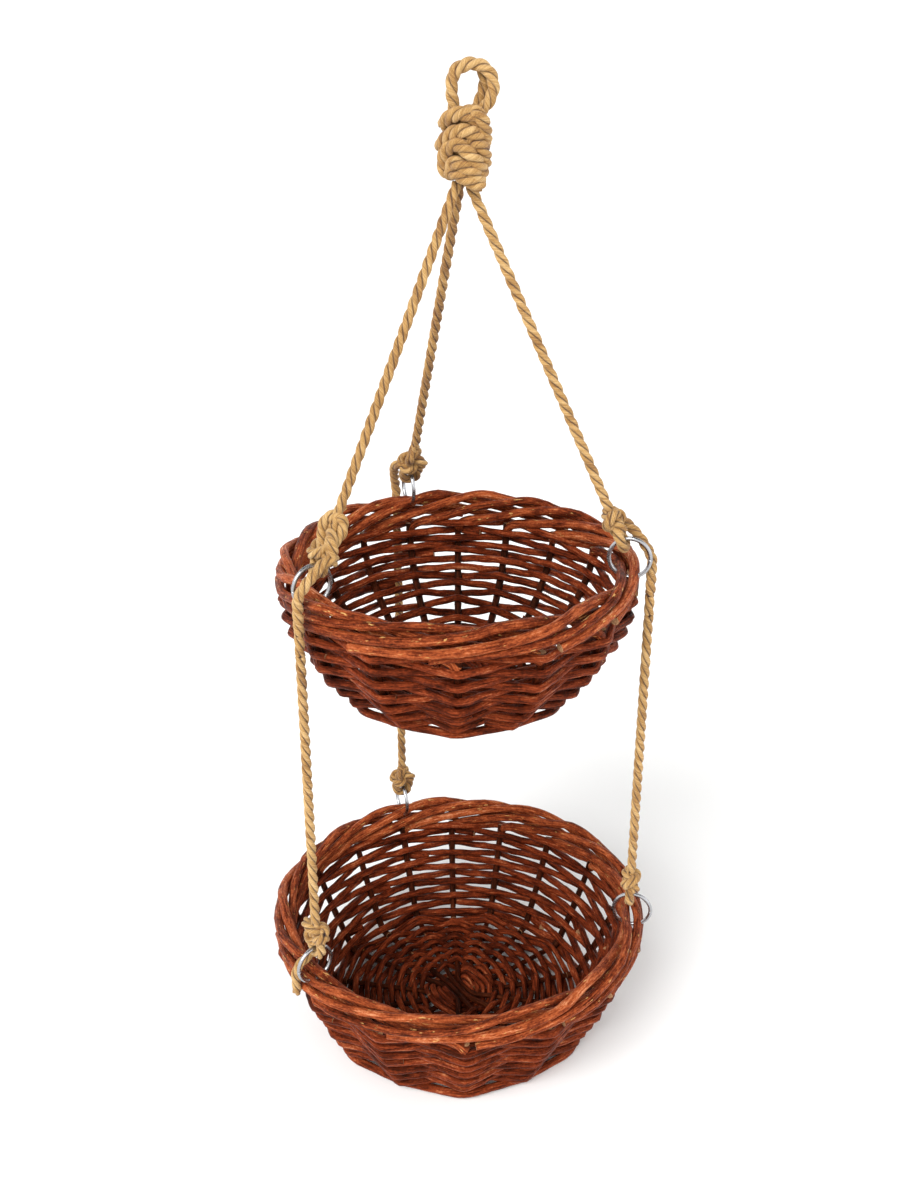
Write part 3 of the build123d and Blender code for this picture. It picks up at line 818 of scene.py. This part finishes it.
# A ring: a closed tube of wire, centre + radius (cos a outward + sin a up).
def addRing(name, bowl, side, body, node):
    centre = ringCentre(bowl, side)
    azimuth = np.radians(azimuthOf(ringStakes[side], bowl["turn"]))
    outward = np.array([np.cos(azimuth), np.sin(azimuth), 0])
    angle = np.linspace(0, 2 * np.pi, 97)[:, None]
    spoke = np.cos(angle) * outward + np.sin(angle) * upVector
    path = centre + ringSize["radius"] * spoke
    along = unit(np.cos(angle) * upVector - np.sin(angle) * outward)
    band = tube(path, ringSize["wire"] / 2, 16, around=(along, spoke, np.cross(along, spoke)))
    mesh = meshOf(name, [band], [nickelWire])
    addPiece(name, mesh, body, [node])


hitchSize = {
    "strand": 3.65,            # of the eye's two strands from its middle, where they run up
    "reach": 5.9,              # of the eye's sides, round the wire
    "eyeFoot": 3.5,            # the sides close in from this height
    "eyeTop": 10.15,
    "wrapPitch": 7.6,
    "over": 3.5,               # the knot's end above its last wrap
    "eyeRope": 7.2,
    "depth": 4.0,              # of the strands in front of and behind each other
    "knotRope": {"diameter": 7.4, "pitch": 23.0, "ends": 1.5},
}
trefoil = {"halfWidth": 2.74, "halfHeight": 2.53, "lift": 0.47}    # of the curve below


# A hitch round a ring's wire: the rope's eye, then an overhand knot over both its strands. The
# knot's line is a trefoil, sin t + 2 sin 2t by cos t - 2 cos 2t, set to its half width and height,
# whose strands pass in front of and behind each other as sin 3t.
def hitch(bearing, across, way, wrapCount, shape, lead=(), paintedShade=0.0):
    along = -np.cross(way, across)
    strand, reach, eyeFoot, eyeTop = (hitchSize[key] for key in ("strand", "reach", "eyeFoot", "eyeTop"))
    end = eyeTop + hitchSize["wrapPitch"] * wrapCount + hitchSize["over"]
    bend = np.linspace(0, np.pi, 5)
    xs = np.concatenate([[0, 0.8, strand, reach], reach * np.cos(bend), [-reach, -strand, -strand]])
    zs = np.concatenate([[end + 1, end - 3, eyeTop, eyeFoot], -reach * np.sin(bend),
                         [eyeFoot, eyeTop, eyeTop + hitchSize["wrapPitch"] / 2]])
    eye = bearing + xs[:, None] * across + zs[:, None] * way
    halfWidth, halfHeight, middle, flip = shape
    t = np.linspace(np.pi / 3, np.pi / 3 + 2 * np.pi, 37)
    right = (np.sin(t) + 2 * np.sin(2 * t)) / trefoil["halfWidth"] * halfWidth
    upright = (np.cos(t) - 2 * np.cos(2 * t) + trefoil["lift"]) / trefoil["halfHeight"] * halfHeight * flip
    knot = (bearing + right[:, None] * across + (middle + upright)[:, None] * way
            + (hitchSize["depth"] * np.sin(3 * t))[:, None] * along)
    knotLine = np.vstack([np.asarray(lead).reshape(-1, 3), knot])
    return (layRope(throughPoints(eye, 8), hitchSize["eyeRope"], paintedShade=paintedShade)
            + layRope(throughPoints(knotLine, 4), paintedShade=paintedShade, **hitchSize["knotRope"]), end)


# Each knot's half width, half height, middle above the ring's wire, and which way up it is; how
# much darker than the left rope each rope is, as painted shade, and how many wraps long its upper hitch
upperShapes = {"left": (12.4, 15.0, 20.5, -1), "right": (8.2, 7.4, 13.5, 1), "back": (8.0, 8.5, 16.0, -1)}
lowerShapes = {"left": (11.4, 6.6, 12.2, 1), "right": (8.6, 6.2, 12.4, 1), "back": (7.6, 5.6, 12.0, -1)}
ropePaintedShade = {"left": 0.0, "right": 0.3, "back": 2.2}
upperWraps = {"left": 2, "right": 1, "back": 2}
for side, stake in ringStakes.items():
    upper, lower = bowls["upper"], bowls["lower"]
    addRing("upper_wire_ring_" + side, upper, side, "upper_ring_" + side, "upper_ring_" + side)
    addRing("lower_wire_ring_" + side, lower, side, "lower_ring_" + side, "lower_ring_" + side)
    # The upper hitch bears on the ring's wire where its leg pulls, and leans with the leg
    azimuth = azimuthOf(stake)
    sideways = np.array([-np.sin(np.radians(azimuth)), np.cos(np.radians(azimuth)), 0])
    centre = ringCentre(upper, side)
    way = unit(legRoot - centre)
    flat = unit(way - sideways * np.dot(way, sideways))
    bearing = centre + flat * ringSize["radius"]
    way = unit(legRoot - bearing)
    across = unit(sideways - way * np.dot(sideways, way))
    # Its free end leads over the rim's edge and down to the drop rope
    dropAzimuth = azimuth + lower["turn"]
    rimZ = upper["rimZ"]
    lead = [polar(dropLine["radius"], dropAzimuth, rimZ - down)
            for down in (dropLine["bendDrop"], dropLine["underRim"])]
    lead += [polar(r, azimuth, rimZ + rise, beside) for r, beside, rise in dropLine["overRim"]]
    paintedShade = ropePaintedShade[side]
    tubes, top = hitch(bearing, across, way, upperWraps[side], upperShapes[side], lead, paintedShade)
    ropePiece("upper_hitch_" + side, tubes, "cradle", ["upper_knot_" + side])

    # The leg is a taut rope up to where the three gather under the crown knot
    lean = np.arccos(way[2])
    legTop = legRoot - way * (hanger["legGather"] / np.sin(lean))
    legBottom = bearing + way * (top + rope["gap"])
    route = [legBottom, (legBottom + legTop) / 2, legTop]
    line = routeLine(route)
    leg = ropePiece("leg_rope_" + side, layRope(line, paintedShade=paintedShade), "cradle", ["rope_leg_" + side])

    # The drop rope hangs upright from the rim's edge to the lower hitch, in a short link and a line
    x, y = lead[0][:2]
    linkTop = rimZ - dropLine["bendDrop"] - rope["hingeGap"]
    dropTop = linkTop - dropLine["linkLength"] - rope["hingeGap"]
    lowerRing = ringCentre(lower, side)
    lowerAzimuth = azimuthOf(stake, lower["turn"])
    shift = lower["rimRadius"] - weave["borderMiddle"] - dropLine["radius"]
    pin = polar(dropLine["radius"], lowerAzimuth, lowerRing[2] + np.sqrt(ringSize["radius"] ** 2 - shift ** 2))
    out = np.array([np.cos(np.radians(lowerAzimuth)), np.sin(np.radians(lowerAzimuth)), 0])
    tubes, top = hitch(pin, np.cross(upVector, out), upVector, 1, lowerShapes[side], paintedShade=paintedShade)
    ropePiece("lower_hitch_" + side, tubes, "lower_knot_" + side, ["lower_knot_" + side])
    dropBottom = pin[2] + top + rope["hingeGap"]
    # Link and line share one lay, counted down from the bend over the rim
    start = 2 * np.pi * (linkTop - dropTop) / rope["pitch"]
    link = np.array([(x, y, linkTop + dropLine["linkLap"]),
                     (x, y, linkTop - dropLine["linkLength"] - dropLine["linkLap"])])
    ropePiece("rope_bend_" + side, layRope(link, paintedShade=paintedShade), "rope_link_" + side, ["rope_link_" + side])
    route = [np.array((x, y, z)) for z in (dropTop, (dropTop + dropBottom) / 2, dropBottom)]
    line = routeLine(route)
    drop = ropePiece("drop_rope_line_" + side, layRope(line, startPhase=-start, paintedShade=paintedShade), "drop_rope_" + side,
                     ["drop_rope_" + side])

# The left knot's cut end over the lower rim: radius and rise of each point
tail = {"sideways": -9.1,
        "line": [(137.5, 8.5), (143.5, 5.6), (149.8, 2.6), (153.1, -3), (153.1, -12), (153.1, -22)]}
tailAzimuth = azimuthOf(ringStakes["left"], bowls["lower"]["turn"])
tailPoints = [polar(r, tailAzimuth, bowls["lower"]["rimZ"] + rise, tail["sideways"]) for r, rise in tail["line"]]
ropePiece("rope_end_left", layRope(throughPoints(tailPoints, 8)), "lower_bowl", ["rope_tail_left"])
print("ropes and rings placed")
